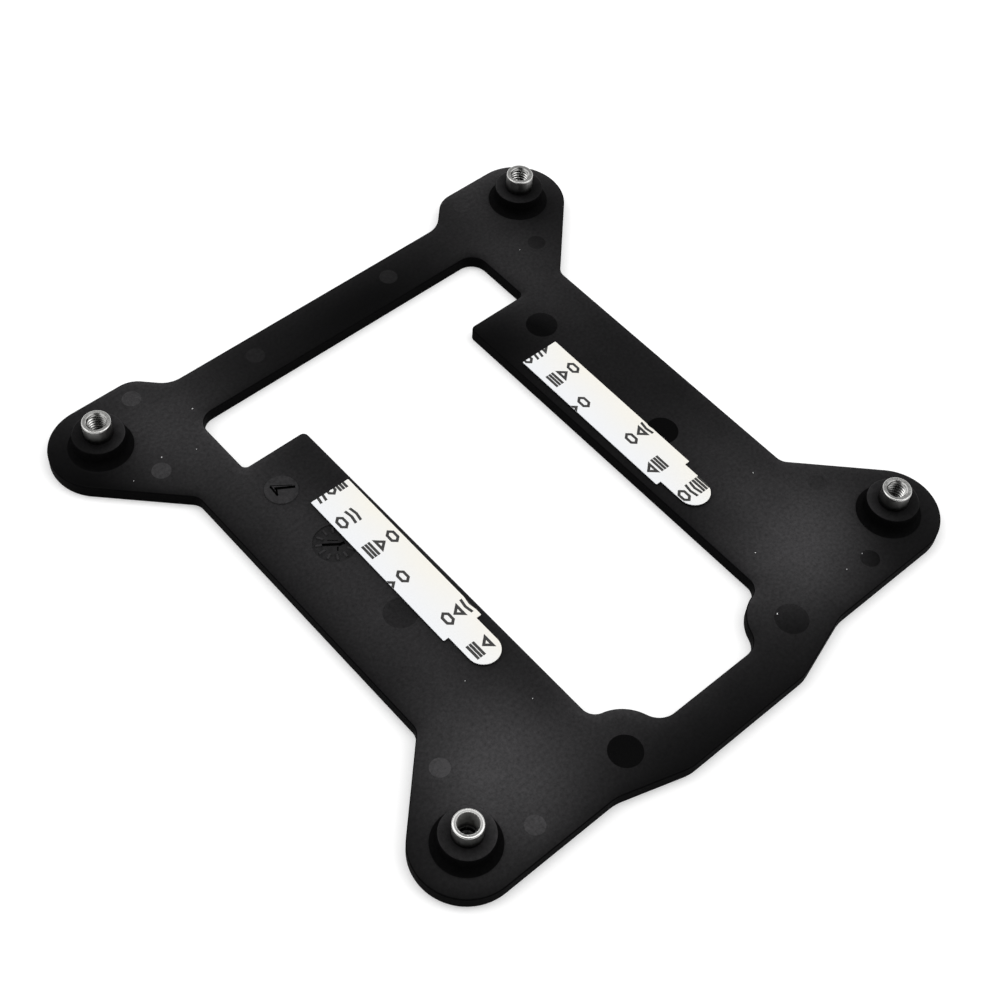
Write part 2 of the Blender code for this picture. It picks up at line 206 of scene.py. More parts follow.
# White dust specks on the plate: x, y and width; then their proportions, the turn from one to the
# next and the share of the width at which their middle lies above the plate
DUST = (
    (-24.4, 35.0, 0.24), (-32.4, 30.8, 0.22), (-28.0, 29.0, 0.16), (30.7, 29.4, 0.14),
    (-23.5, -21.0, 0.16), (-18.7, -28.2, 0.16), (27.9, -21.4, 0.18), (18.6, -30.7, 0.2),
    (13.9, -39.1, 0.26), (26.1, -40.2, 0.16), (29.6, -39.8, 0.14), (-37.5, 29.9, 0.14),
)
DUST_SHAPE = (1, 0.7, 0.4)
DUST_TURN = 1.3
DUST_RISE = 1 / 6

# Finishes: the two colours between which noise, or the plate's painted sheen and shade, moves each one
PLASTIC_COLOURS = ((0.0006, 0.0006, 0.0007, 1), (0.0545, 0.053, 0.055, 1))
# Upright edges and boss walls: a darker copy of the plastic that paints their shade
SHADED_SIDE_COLOURS = ((0.001, 0.001, 0.0011, 1), (0.005, 0.0049, 0.0051, 1))
METAL_COLOURS = ((0.5, 0.495, 0.48, 1), (0.6, 0.6, 0.59, 1))
# Colour of dirt and painted shade on the standoffs
DIRT_AND_SHADE_COLOUR = (0.04, 0.04, 0.04, 1)
TAPE_COLOURS = ((0.004, 0.004, 0.004, 1), (0.012, 0.012, 0.013, 1))
PAPER_COLOURS = ((0.83, 0.845, 0.87, 1), (0.87, 0.84, 0.76, 1))
FIBRE_COLOUR = (0.6, 0.6, 0.6, 1)
INK_COLOURS = ((0.012, 0.012, 0.012, 1), (0.035, 0.033, 0.03, 1))
DUST_COLOURS = ((0.45, 0.45, 0.46, 1), (0.8, 0.8, 0.8, 1))
FLOOR_COLOUR = (0.8, 0.8, 0.8, 1)

# Roughness, lowest and highest, and what full mattness or tone adds to it
PLASTIC_ROUGHNESS = (0.42, 0.52)
SIDE_ROUGHNESS = (0.5, 0.65)
METAL_ROUGHNESS = (0.21, 0.28)
TAPE_ROUGHNESS = (0.6, 0.85)
PAPER_ROUGHNESS = (0.38, 0.48)
MATT_ROUGHNESS = 0.1
TONE_ROUGHNESS = 0.06

# Spans that the values of one noise, of two added, of the ink's noise and of dirt and painted shade are
# read over
NOISE_SPAN = (0.3, 0.7)
SUM_SPAN = (0.7, 1.3)
INK_SPAN = (0.35, 0.7)
DIRT_AND_SHADE_SPAN = (0.1, 1)
# How pale a tone makes the plastic, and how much clouds and mottling change that
TONE_SHADE = 0.35
CLOUD_SHARE = (0.9, 1.1)
MOTTLE_SHARE = (0.7, 1.3)
# Stretch of the turning marks, the paper's greyest fibre, and its least warmth in a cloud
TURNING_STRETCH = (0.2, 0.2, 6.0)
FIBRE_SHARE = 0.05
WARMTH_LEAST = 0.5

# Steps of the meshes, and limits in building them
ARC_STEP = math.radians(4)
EDGE_STEP = 1.2
GRID_STEP = 1.0
FLAT_MARGIN = 0.15
LINER_GRID_STEP = 0.8
ROUND_SEGMENTS = 72
MARK_SEGMENTS = 48
FINE_STEP = math.radians(15)
ROUND_STEP = math.radians(22.5)
FOOT_STEP = math.radians(45)
SHARP_ANGLE = math.radians(32)
SIDE_NORMAL = 0.96
MERGE_DISTANCE = 1e-4
FILL_PRECISION = 1e-6
LINER_PRECISION = 1e-5
GRID_CLEARANCE = 0.55
MITRE_LIMIT = 0.3

# Camera: place and aim in the row's frame, roll of the picture and lens
CAMERA_PLACE = (-100.55, -97.07, 191.62)
CAMERA_AIM = (-1.869, -1.539, 2.0)
CAMERA_ROLL = math.radians(5.546)
CAMERA_LENS = 63.33
CAMERA_SENSOR = 36.0
CAMERA_CLIP_START = 0.01

# Lamp, in metres and watts
LAMP_SIZE = (1.6, 0.5)
LAMP_HEIGHT = 0.8
LAMP_BEYOND = 0.12
LAMP_POWER = 6.15

# Floor: reach and pieces each way, and its own light for the camera and reflections
FLOOR_REACH = 1.5
FLOOR_PIECES = 8
FLOOR_GLOW = 0.3

# Room: light by the camera and high up, and the spans of direction over which the far and the side
# walls come up and fade with height
ROOM_NEAR = 0.06
ROOM_UPPER = 0.3
FAR_WALL_SPAN = (-0.1, 0.2)
FAR_WALL_FADE = (0.4, 0.7)
SIDE_WALL_SPAN = (0.3, 0.55)
SIDE_WALL_FADE = (0.6, 0.9)

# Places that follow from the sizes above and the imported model
POST = POST_PITCH / 2
PAD_REACH = POST + PAD_RADIUS
BAR_REACH = PAD_REACH + BOTTOM_BAR_DROP
PATTERN_Y = (BAR_REACH - PAD_REACH) / 2
ARM_OUTER = CHANNEL_WIDTH / 2 + ARM_WIDTH
TOP_BAR_UPPER = PAD_REACH - TOP_BAR_STEP
TOP_BAR_LOWER = TOP_BAR_UPPER - TOP_BAR_WIDTH
WINDOW_FOOT = TOP_BAR_LOWER - WINDOW_HEIGHT
BOTTOM_BAR_INNER = -BAR_REACH + BOTTOM_BAR_WIDTH
BOSS_TOP = PLATE_THICKNESS + BOSS_HEIGHT
LAND = LAND_SPACING / 2

# Marks on the left and the right: x, y, then the tone of the left and of the right one. A tone
# below 0 is glossier and darker than the plate, and one above 0 is duller and paler.
PIN_MARKS = (
    (12.0, 37.3, 0.2, 0.4),
    (29.8, 41.6, 0.75, 0.15),
    (33.7, 29.0, 0.95, -0.3),
    (33.6, -28.1, 1.05, -0.2),
    (29.85, -41.0, 0.75, -0.45),
)
DISC_MARKS = (
    (23.35, 16.45, None, -0.45),
    (23.35, -8.3, -0.4, -0.7),
    (LAND, BOTTOM_BAR_INNER, -1.2, -0.4),
)


def node_box(node):
    """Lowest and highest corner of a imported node, in millimetres."""
    return [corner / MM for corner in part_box(node)]


def arc(centre, radius, start, end, step=ARC_STEP):
    """Points along an arc from one angle to the other, both ends included."""
    steps = max(1, math.ceil(abs(end - start) / step - 1e-6))
    points = []
    for i in range(steps + 1):
        angle = start + (end - start) * i / steps
        points.append((centre[0] + radius * math.cos(angle), centre[1] + radius * math.sin(angle)))
    return points


def circle(centre, radius, count):
    """Points round a circle."""
    return arc(centre, radius, 0, math.tau * (count - 1) / count, math.tau / count)


def rounded(corners):
    """Closed outline of corners (x, y, radius), with each corner replaced by its tangent arc."""
    outline = []
    for i, (x, y, radius) in enumerate(corners):
        corner = Vector((x, y))
        back = (Vector(corners[i - 1][:2]) - corner).normalized()
        ahead = (Vector(corners[(i + 1) % len(corners)][:2]) - corner).normalized()
        if radius == 0:
            outline.append((x, y))
            continue
        half = back.angle(ahead) / 2
        centre = corner + (back + ahead).normalized() * radius / math.sin(half)
        first = corner + back * radius / math.tan(half) - centre
        last = corner + ahead * radius / math.tan(half) - centre
        start = math.atan2(first.y, first.x)
        turn = math.remainder(math.atan2(last.y, last.x) - start, math.tau)
        outline += arc(centre, radius, start, start + turn)
    return outline


def divided(outline, step):
    """Outline with its straight runs cut into steps of about the given length."""
    points = []
    for i, start in enumerate(outline):
        end = outline[(i + 1) % len(outline)]
        count = max(1, round(math.dist(start, end) / step))
        for k in range(count):
            points.append(tuple(Vector(start).lerp(Vector(end), k / count)))
    return points


def offset(outline, distance):
    """Outline moved outwards by a distance; a counter-clockwise outline's outside is outwards."""
    moved = []
    for i, point in enumerate(outline):
        here = Vector(point)
        back = (here - Vector(outline[i - 1])).normalized()
        ahead = (Vector(outline[(i + 1) % len(outline)]) - here).normalized()
        normal = Vector((back.y + ahead.y, -back.x - ahead.x)).normalized()
        moved.append(tuple(here + normal * distance / max(MITRE_LIMIT, normal.dot((ahead.y, -ahead.x)))))
    return moved


def mirrored(half):
    """Whole outline from its right half, whose corners run from the bottom to the top."""
    return half + [(-x, y, radius) for x, y, radius in reversed(half)]


def plate_outline():
    """Outer edge of the plate: pads round the posts, waisted arms and two offset bars."""
    tangent = PAD_RADIUS * math.tan(math.radians(22.5))
    arm_start = ARM_OUTER - PAD_RADIUS * math.sqrt(2)
    slope = TOP_BAR_STEP / 2
    bar_end = BOTTOM_BAR_LENGTH / 2
    return rounded(mirrored([
        (bar_end, -BAR_REACH, BOTTOM_BAR_BLEND_RADIUS),
        (bar_end + BOTTOM_SLOPE_RUN, -PAD_REACH, BOTTOM_BAR_BLEND_RADIUS),
        (PAD_REACH, -PAD_REACH, PAD_RADIUS),
        (PAD_REACH, tangent - POST, PAD_RADIUS),
        (ARM_OUTER, -arm_start, ARM_CORNER_RADIUS),
        (ARM_OUTER, arm_start, ARM_CORNER_RADIUS),
        (PAD_REACH, POST - tangent, PAD_RADIUS),
        (PAD_REACH, PAD_REACH, PAD_RADIUS),
        (TOP_BAR_SLOPE_X + slope, PAD_REACH, TOP_BAR_BLEND_RADIUS),
        (TOP_BAR_SLOPE_X - slope, TOP_BAR_UPPER, TOP_BAR_BLEND_RADIUS),
    ]))


def land_corners():
    """Edge of the right land, from the bottom bar up to the channel's side, as arcs that blend."""
    land = Vector((LAND, BOTTOM_BAR_INNER))
    bar_reach = LAND_RADIUS + LAND_BAR_BLEND
    bar_blend = land + Vector((-math.sqrt(bar_reach**2 - LAND_BAR_BLEND**2), LAND_BAR_BLEND))
    side_reach = LAND_RADIUS + LAND_CHANNEL_BLEND
    across = CHANNEL_WIDTH / 2 - LAND_CHANNEL_BLEND - land.x
    side_blend = land + Vector((across, math.sqrt(side_reach**2 - across**2)))
    to_bar = math.atan2(bar_blend.y - land.y, bar_blend.x - land.x)
    to_side = math.atan2(side_blend.y - land.y, side_blend.x - land.x)
    points = arc(bar_blend, LAND_BAR_BLEND, -math.pi / 2, to_bar - math.pi)
    points += arc(land, LAND_RADIUS, to_bar, to_side)[1:-1]
    points += arc(side_blend, LAND_CHANNEL_BLEND, to_side - math.pi, 0)
    return [(x, y, 0) for x, y in points]


def opening_outline():
    """Edge of the opening: lands at the bottom, the channel between the arms, and the window."""
    window = WINDOW_WIDTH / 2
    return rounded(mirrored(land_corners() + [
        (CHANNEL_WIDTH / 2, WINDOW_FOOT, WINDOW_FOOT_RADIUS),
        (window, WINDOW_FOOT, WINDOW_FOOT_RADIUS),
        (window, TOP_BAR_LOWER, WINDOW_TOP_RADIUS),
    ]))


def liner_outline():
    """Outline of a liner, upper end at y = 0, with a round-ended pull tab at its lower end."""
    side = STRIP_WIDTH / 2
    tab = TAB_WIDTH / 2
    tab_end = arc((0, -STRIP_LENGTH - TAB_LENGTH + tab), tab, -math.pi, 0)
    return rounded([
        (-side, 0, STRIP_CORNER_RADIUS),
        (-side, -STRIP_LENGTH, STRIP_CORNER_RADIUS),
        (-tab, -STRIP_LENGTH, 0),
        *[(x, y, 0) for x, y in tab_end],
        (tab, -STRIP_LENGTH, 0),
        (side, -STRIP_LENGTH, STRIP_CORNER_RADIUS),
        (side, 0, STRIP_CORNER_RADIUS),
    ])


def ring(work, outline, height):
    """Loop of vertices along an outline at one height."""
    return [work.verts.new((x, y, height)) for x, y in outline]


def loft(work, rings):
    """Walls between rings of as many vertices each."""
    for lower, upper in zip(rings, rings[1:]):
        for i, vert in enumerate(lower):
            after = (i + 1) % len(lower)
            work.faces.new((vert, lower[after], upper[after], upper[i]))


def grid_points(rim, step):
    """Points of a triangular grid over the box of a rim's points that keep clear of the rim."""
    tree = KDTree(len(rim))
    for i, point in enumerate(rim):
        tree.insert((point.x, point.y, 0), i)
    tree.balance()
    low = Vector((min(point.x for point in rim), min(point.y for point in rim)))
    high = Vector((max(point.x for point in rim), max(point.y for point in rim)))
    row_step = step * math.sqrt(0.75)
    points = []
    for row in range(math.ceil((high.y - low.y) / row_step) + 1):
        y = low.y + row * row_step
        for column in range(math.ceil((high.x - low.x) / step) + 1):
            x = low.x + (column + row % 2 / 2) * step
            if tree.find((x, y, 0))[2] > step * GRID_CLEARANCE:
                points.append(Vector((x, y)))
    return points


def fill(work, loops, step=None):
    """Flat triangles between the first loop and the loops inside it; returns them."""
    verts = [vert for loop in loops for vert in loop]
    points = [vert.co.xy for vert in verts]
    if step:
        points += grid_points([vert.co for vert in verts], step)
    polygons = []
    start = 0
    for loop in loops:
        polygons.append(list(range(start, start + len(loop))))
        start += len(loop)
    result = geometry.delaunay_2d_cdt(points, [], polygons, 0, FILL_PRECISION)
    out_points, _, triangles, origins, _, owners = result
    height = verts[0].co.z
    made = {}
    faces = []
    for triangle, owner in zip(triangles, owners):
        if owner != [0]:
            continue
        corners = []
        for i in triangle:
            if i not in made:
                known = [k for k in origins[i] if k < len(verts)]
                made[i] = verts[known[0]] if known else work.verts.new((*out_points[i], height))
            corners.append(made[i])
        faces.append(work.faces.new(corners))
    return faces


def closed_mesh(name, work):
    """Mesh in metres of a closed shape in millimetres, with its faces turned outwards."""
    bmesh.ops.recalc_face_normals(work, faces=work.faces)
    if work.calc_volume(signed=True) < 0:
        bmesh.ops.reverse_faces(work, faces=work.faces)
    bmesh.ops.scale(work, verts=work.verts, vec=(MM, MM, MM))
    mesh = bpy.data.meshes.new(name)
    work.to_mesh(mesh)
    work.free()
    return mesh


def add_piece(name, mesh, material, place=(0, 0, 0)):
    """Object of a mesh that rides on the bracket's one body and takes a material slot's finish."""
    piece = bpy.data.objects.new(name, mesh)
    bpy.context.scene.collection.objects.link(piece)
    piece.location = Vector(place) * MM
    mesh.materials.append(material)
    mesh.shade_smooth()
    mesh.set_sharp_from_angle(angle=SHARP_ANGLE)
    weighted = piece.modifiers.new("weighted_normals", "WEIGHTED_NORMAL")
    weighted.keep_sharp = True
    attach(piece, "root")
    return piece


def stroke_cutter(name, lines, bottom, top):
    """Mesh of upright walls along lines in the pattern's frame, which overlap at their joints."""
    work = bmesh.new()
    tone_layer = work.faces.layers.float.new("tone")
    for width, *line in lines:
        line = to_plate(line)
        for start, end in zip(line, line[1:]):
            along = (Vector(end) - Vector(start)).normalized() * width / 2
            across = Vector((-along.y, along.x))
            first, last = Vector(start) - along, Vector(end) + along
            outline = [first - across, last - across, last + across, first + across]
            low, high = ring(work, outline, bottom), ring(work, outline, top)
            loft(work, [low, high])
            work.faces.new(low)
            work.faces.new(high)
    # Painted shade: the faces that the strokes cut into the plate are toned dark
    for face in work.faces:
        face[tone_layer] = STROKE_PAINTED_SHADE
    return closed_mesh(name, work)


def to_plate(line):
    """Points moved from the post pattern's frame to the row's frame."""
    return [(x, y + PATTERN_Y) for x, y in line]


def engrave(mesh, cutters):
    """Mesh with cutters taken out of it."""
    target = bpy.data.objects.new("engraved", mesh)
    bpy.context.scene.collection.objects.link(target)
    tools = []
    for cutter in cutters:
        tool = bpy.data.objects.new(cutter.name, cutter)
        bpy.context.scene.collection.objects.link(tool)
        tools.append(tool)
        cut = target.modifiers.new(cutter.name, "BOOLEAN")
        cut.operation = "DIFFERENCE"
        cut.solver = "EXACT"
        cut.use_self = True
        cut.object = tool
    depsgraph = bpy.context.evaluated_depsgraph_get()
    result = bpy.data.meshes.new_from_object(target.evaluated_get(depsgraph))
    result.name = mesh.name
    for thing in (target, *tools):
        bpy.data.objects.remove(thing)
    for old in (mesh, *cutters):
        bpy.data.meshes.remove(old)
    return result


def edge_profile():
    """Section of the plate's edge from the underside up: distance in from the outline, height."""
    foot = arc((PLATE_FOOT_ROUND, PLATE_FOOT_ROUND), PLATE_FOOT_ROUND,
               -math.pi / 2, -math.pi, FOOT_STEP)
    head_centre = (PLATE_EDGE_ROUND, PLATE_THICKNESS - PLATE_EDGE_ROUND)
    head = arc(head_centre, PLATE_EDGE_ROUND, math.pi, math.pi / 2, ROUND_STEP)
    first = (PLATE_FOOT_ROUND + FLAT_MARGIN, 0)
    last = (PLATE_EDGE_ROUND + FLAT_MARGIN, PLATE_THICKNESS)
    return [first] + foot + head + [last]


def boss_profile():
    """Section of a boss from its flare's foot up to the seat's edge: radius, height."""
    flare_centre = (BOSS_RADIUS + BOSS_FLARE_RADIUS, PLATE_THICKNESS + BOSS_FLARE_RADIUS)
    flare = [(flare_centre[0] + FLAT_MARGIN, PLATE_THICKNESS)]
    flare += arc(flare_centre, BOSS_FLARE_RADIUS, 1.5 * math.pi, math.pi, FINE_STEP)
    rim_centre = (BOSS_RADIUS - BOSS_RIM_ROUND, BOSS_TOP - BOSS_RIM_ROUND)
    rim = arc(rim_centre, BOSS_RIM_ROUND, 0, math.pi / 2, ROUND_STEP)
    return flare + rim + [(BARREL_RADIUS + SEAT_CLEARANCE, BOSS_TOP)]


def hexagon(centre, across_flats):
    """Corners of a hexagon."""
    return circle(centre, across_flats / math.sqrt(3), 6)


def post_places():
    """Centre of each post by its node's name, in the row's frame."""
    places = {}
    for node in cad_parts:
        if node.startswith("standoff"):
            low, high = node_box(node)
            places[node] = ((low.x + high.x) / 2, (low.y + high.y) / 2)
    return places


def mark_list():
    """All round marks in the row's frame: centre, radius, tone and rise."""
    marks = [(to_plate([LABEL_PLACE])[0], DISC_MARK_RADIUS, LABEL_TONE, LABEL_RISE)]
    for radius, table in ((PIN_MARK_RADIUS, PIN_MARKS), (DISC_MARK_RADIUS, DISC_MARKS)):
        for x, y, *tones in table:
            for side, tone in zip((-x, x), tones):
                if tone is not None:
                    rise = math.copysign(MARK_RELIEF, tone)
                    marks.append((to_plate([(side, y)])[0], radius, tone, rise))
    return marks


def add_mark(work, tone_layer, centre, radius, tone, rise):
    """Round mark that is proud of the plate or sunk in it; returns the flat ring round it."""
    outer = ring(work, circle(centre, radius + FLAT_MARGIN, MARK_SEGMENTS), PLATE_THICKNESS)
    rim = ring(work, circle(centre, radius, MARK_SEGMENTS), PLATE_THICKNESS)
    face = ring(work, circle(centre, radius - MARK_SLOPE, MARK_SEGMENTS), PLATE_THICKNESS + rise)
    inner_radius = radius - MARK_SLOPE - FLAT_MARGIN
    inner = ring(work, circle(centre, inner_radius, MARK_SEGMENTS), PLATE_THICKNESS + rise)
    before = set(work.faces)
    loft(work, [face, inner])
    fill(work, [inner])
    for part in set(work.faces) - before:
        part[tone_layer] = tone
    loft(work, [outer, rim, face])
    return outer


def add_dial(work, tone_layer):
    """Sunk dial with a ring of raised ticks; returns the flat ring round it."""
    centre = to_plate([DIAL_PLACE])[0]
    floor_height = PLATE_THICKNESS - DIAL_DEPTH
    outer = ring(work, circle(centre, DIAL_RADIUS + FLAT_MARGIN, MARK_SEGMENTS), PLATE_THICKNESS)
    rim = ring(work, circle(centre, DIAL_RADIUS, MARK_SEGMENTS), PLATE_THICKNESS)
    floor = ring(work, circle(centre, DIAL_RADIUS - MARK_SLOPE / 2, MARK_SEGMENTS), floor_height)
    loft(work, [outer, rim, floor])
    feet = []
    for i in range(DIAL_TICKS):
        turn = Matrix.Rotation(math.tau * i / DIAL_TICKS, 2)
        half = DIAL_TICK_WIDTH / 2
        near, far = DIAL_TICK_SPAN
        corners = [(near, -half), (far, -half), (far, half), (near, half)]
        outline = [tuple(Vector(centre) + turn @ Vector(corner)) for corner in corners]
        foot = ring(work, outline, floor_height)
        head = ring(work, offset(outline, -MARK_SLOPE), floor_height + DIAL_TICK_HEIGHT)
        loft(work, [foot, head])
        # Painted highlight: the ticks' heads are toned paler
        for part in fill(work, [head]):
            part[tone_layer] = DIAL_TICK_PAINTED_HIGHLIGHT
        feet.append(foot)
    for part in fill(work, [floor, *feet]):
        part[tone_layer] = DIAL_TONE
    return outer


def plate_mesh():
    """Moulded plate with rounded edges, flared bosses, seats, mould marks and the dial."""
    work = bmesh.new()
    tone_layer = work.faces.layers.float.new("tone")
    top, bottom = [], []
    for outline, outwards in ((plate_outline(), 1), (opening_outline(), -1)):
        outline = to_plate(divided(outline, EDGE_STEP))
        rings = [
            ring(work, offset(outline, -outwards * inset), height)
            for inset, height in edge_profile()
        ]
        loft(work, rings)
        bottom.append(rings[0])
        top.append(rings[-1])
    seat_top = node_box("standoff_front_left")[0].z + HEAD_THICKNESS + POCKET_CLEARANCE
    for centre in post_places().values():
        rings = [
            ring(work, circle(centre, radius, ROUND_SEGMENTS), height)
            for radius, height in boss_profile() + [(BARREL_RADIUS + SEAT_CLEARANCE, seat_top)]
        ]
        loft(work, rings)
        top.append(rings[0])
        pocket = hexagon(centre, HEAD_ACROSS_FLATS + 2 * POCKET_CLEARANCE)
        foot = ring(work, pocket, 0)
        ceiling = ring(work, pocket, seat_top)
        loft(work, [foot, ceiling])
        fill(work, [ceiling, rings[-1]])
        bottom.append(foot)
    for mark in mark_list():
        top.append(add_mark(work, tone_layer, *mark))
    top.append(add_dial(work, tone_layer))
    fill(work, top, GRID_STEP)
    fill(work, bottom, GRID_STEP)
    return closed_mesh("bracket_plate_finished", work)


def painted_light_at(x, y):
    """Strength of the plate's painted sheen and shade at a place, away from edges and bosses."""
    painted_light = PLATE_BASE_TONE
    for patch_x, patch_y, reach_x, reach_y, strength in PAINTED_LIGHT_PATCHES:
        spread = ((x - patch_x) / reach_x)**2 + ((y - PATTERN_Y - patch_y) / reach_y)**2
        painted_light += strength * math.exp(-spread)
    return max(0, painted_light)


def edge_painted_light(distance, facing):
    """Painted light near an edge: paler or darker by how much the edge faces the way of the paler ones.
    """
    most, reach = PAINTED_LIT_EDGE if facing > 0 else PAINTED_SHADED_EDGE
    return 1 + most * facing * math.exp(-distance / reach)


def boss_painted_light(radius, height):
    """Painted shade and highlight on a boss's top, and painted shadow on its wall and flare, by distance
    from its axis and height.
    """
    if height > BOSS_TOP - BOSS_RIM_ROUND:
        low, high = BOSS_TOP_PAINTED_LIGHT
        return low + (high - low) * (radius - BARREL_RADIUS) / (BOSS_RADIUS - BARREL_RADIUS)
    start, end = BOSS_PAINTED_SHADOW
    return min(1, max(0, (radius - start) / (end - start)))


def rim_tree():
    """Search tree of points along the plate's edges, and the level direction that each one faces."""
    points, faces = [], []
    for outline, outwards in ((plate_outline(), 1), (opening_outline(), -1)):
        outline = to_plate(divided(outline, EDGE_STEP / 4))
        for point, moved in zip(outline, offset(outline, outwards)):
            points.append(point)
            faces.append((Vector(moved) - Vector(point)).normalized())
    tree = KDTree(len(points))
    for i, (x, y) in enumerate(points):
        tree.insert((x, y, 0), i)
    tree.balance()
    return tree, faces


def add_painted_light(mesh):
    """Give the plate's points their painted sheen and shade, and its upright faces a material of painted
    shade.
    """
    tree, ways = rim_tree()
    posts = list(post_places().values())
    # Painted sheen and shade: each point of the plate is made paler or darker in colour
    painted_light = mesh.attributes.new("painted_light", "FLOAT", "POINT")
    for vert, value in zip(mesh.vertices, painted_light.data):
        x, y, z = vert.co / MM
        _, i, distance = tree.find((x, y, 0))
        # Edges facing away from the camera are painted paler, and those facing it painted darker as
        # shade
        share = edge_painted_light(distance, ways[i].dot(PAINTED_LIT_EDGE_WAY))
        # Bosses: painted shade by the post, a painted highlight at the rim and a painted shadow round
        # the foot
        share *= boss_painted_light(min(math.dist((x, y), post) for post in posts), z)
        value.value = painted_light_at(x, y) * share
    for face in mesh.polygons:
        x, y, z = face.center / MM
        near_edge = tree.find((x, y, 0))[2] < EDGE_STEP
        near_boss = min(math.dist((x, y), post) for post in posts) < BOSS_RADIUS + BOSS_FLARE_RADIUS
        on_boss = near_boss and PLATE_THICKNESS < z < BOSS_TOP - BOSS_RIM_ROUND / 4
        # Upright faces by the edges and on the bosses take the darker copy of the plastic, as painted
        # shade
        if abs(face.normal.z) < SIDE_NORMAL and (near_edge or on_boss):
            face.material_index = 1


def make_plate(material, shaded_side_material):
    """Plate with the strokes of its numbered disc and its dial engraved."""
    above = 2 * PLATE_THICKNESS
    label_floor = PLATE_THICKNESS + LABEL_RISE - STROKE_DEPTH
    dial_floor = PLATE_THICKNESS - DIAL_DEPTH - STROKE_DEPTH
    mesh = engrave(plate_mesh(), [
        stroke_cutter("label", LABEL_STROKES, label_floor, above),
        stroke_cutter("needle", DIAL_STROKES, dial_floor, above),
    ])
    add_painted_light(mesh)
    plate = add_piece("bracket_plate_finished", mesh, material)
    mesh.materials.append(shaded_side_material)
    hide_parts("bracket_plate")


def bore_painted_shade(down):
    """Painted shade on the bore's wall by depth below its mouth."""
    clean, dark = BORE_SHADE_DEPTHS
    return min(1, max(0, (down - clean) / (dark - clean)))


def bore_wall(work, dirt_and_shade, matt, top, length, start):
    """Wall of a bore from its mouth down: a plain lead-in as far as the start, then a right-hand
    thread whose rows climb and whose roots are painted dark as shade."""
    turns = math.ceil(length / THREAD_PITCH) + 2
    rows = []
    for turn in range(turns):
        for share, depth in THREAD_SECTION:
            row = []
            for i in range(ROUND_SEGMENTS):
                angle = -math.tau * i / ROUND_SEGMENTS
                down = min(length, max(0, (turn - 1 + share + i / ROUND_SEGMENTS) * THREAD_PITCH))
                fade_in = max(0, (down - start) / THREAD_PITCH)
                cut = depth * min(1, (length - down) / THREAD_PITCH, fade_in)
                mouth = BORE_MOUTH_RADIUS if down < start else BORE_MOUTH_RADIUS - down
                radius = max(BORE_RADIUS + THREAD_DEPTH * cut, mouth)
                vert = work.verts.new((radius * math.cos(angle), radius * math.sin(angle), top - down))
                # Thread roots and the deep wall are painted dark as shade
                vert[dirt_and_shade] = max(cut, bore_painted_shade(down))
                vert[matt] = LEAD_IN_MATT if down < start else 0
                row.append(vert)
            rows.append(row)
    for row, after in zip(rows, rows[1:]):
        for i in range(ROUND_SEGMENTS - 1):
            work.faces.new((row[i], row[i + 1], after[i + 1], after[i]))
    turn_rows = len(THREAD_SECTION)
    for i in range(len(rows) - turn_rows - 1):
        k = i + turn_rows
        work.faces.new((rows[i][-1], rows[k][0], rows[k + 1][0], rows[i + 1][-1]))


def barrel_profile(bottom, top, stain):
    """Section of the barrel and the rim: radius, height, dirt and painted shade, and 1 where the wall is
    matt.
    """
    profile = [(BARREL_RADIUS, bottom, 1, 1)]
    # The barrel is darker towards its foot: dirt and painted shade
    profile += [(BARREL_RADIUS, BOSS_TOP + height, dirt_and_shade, 1) for height, dirt_and_shade in BARREL_DIRT_AND_SHADE]
    edge_centre = (BARREL_RADIUS - BARREL_EDGE_ROUND, top - BARREL_EDGE_ROUND)
    edge = arc(edge_centre, BARREL_EDGE_ROUND, 0, math.pi / 2, FINE_STEP)
    profile += [(*point, 0, 0) for point in edge]
    flat_edge = edge_centre[0]
    slope = RIM_DROP / (flat_edge - BORE_MOUTH_RADIUS)
    # A dark ring painted across the rim
    for radius, dirt_and_shade in (*RIM_DARK_RING, (BORE_MOUTH_RADIUS, 0)):
        profile.append((radius, top - (flat_edge - radius) * slope, max(dirt_and_shade, stain), 0))
    return profile


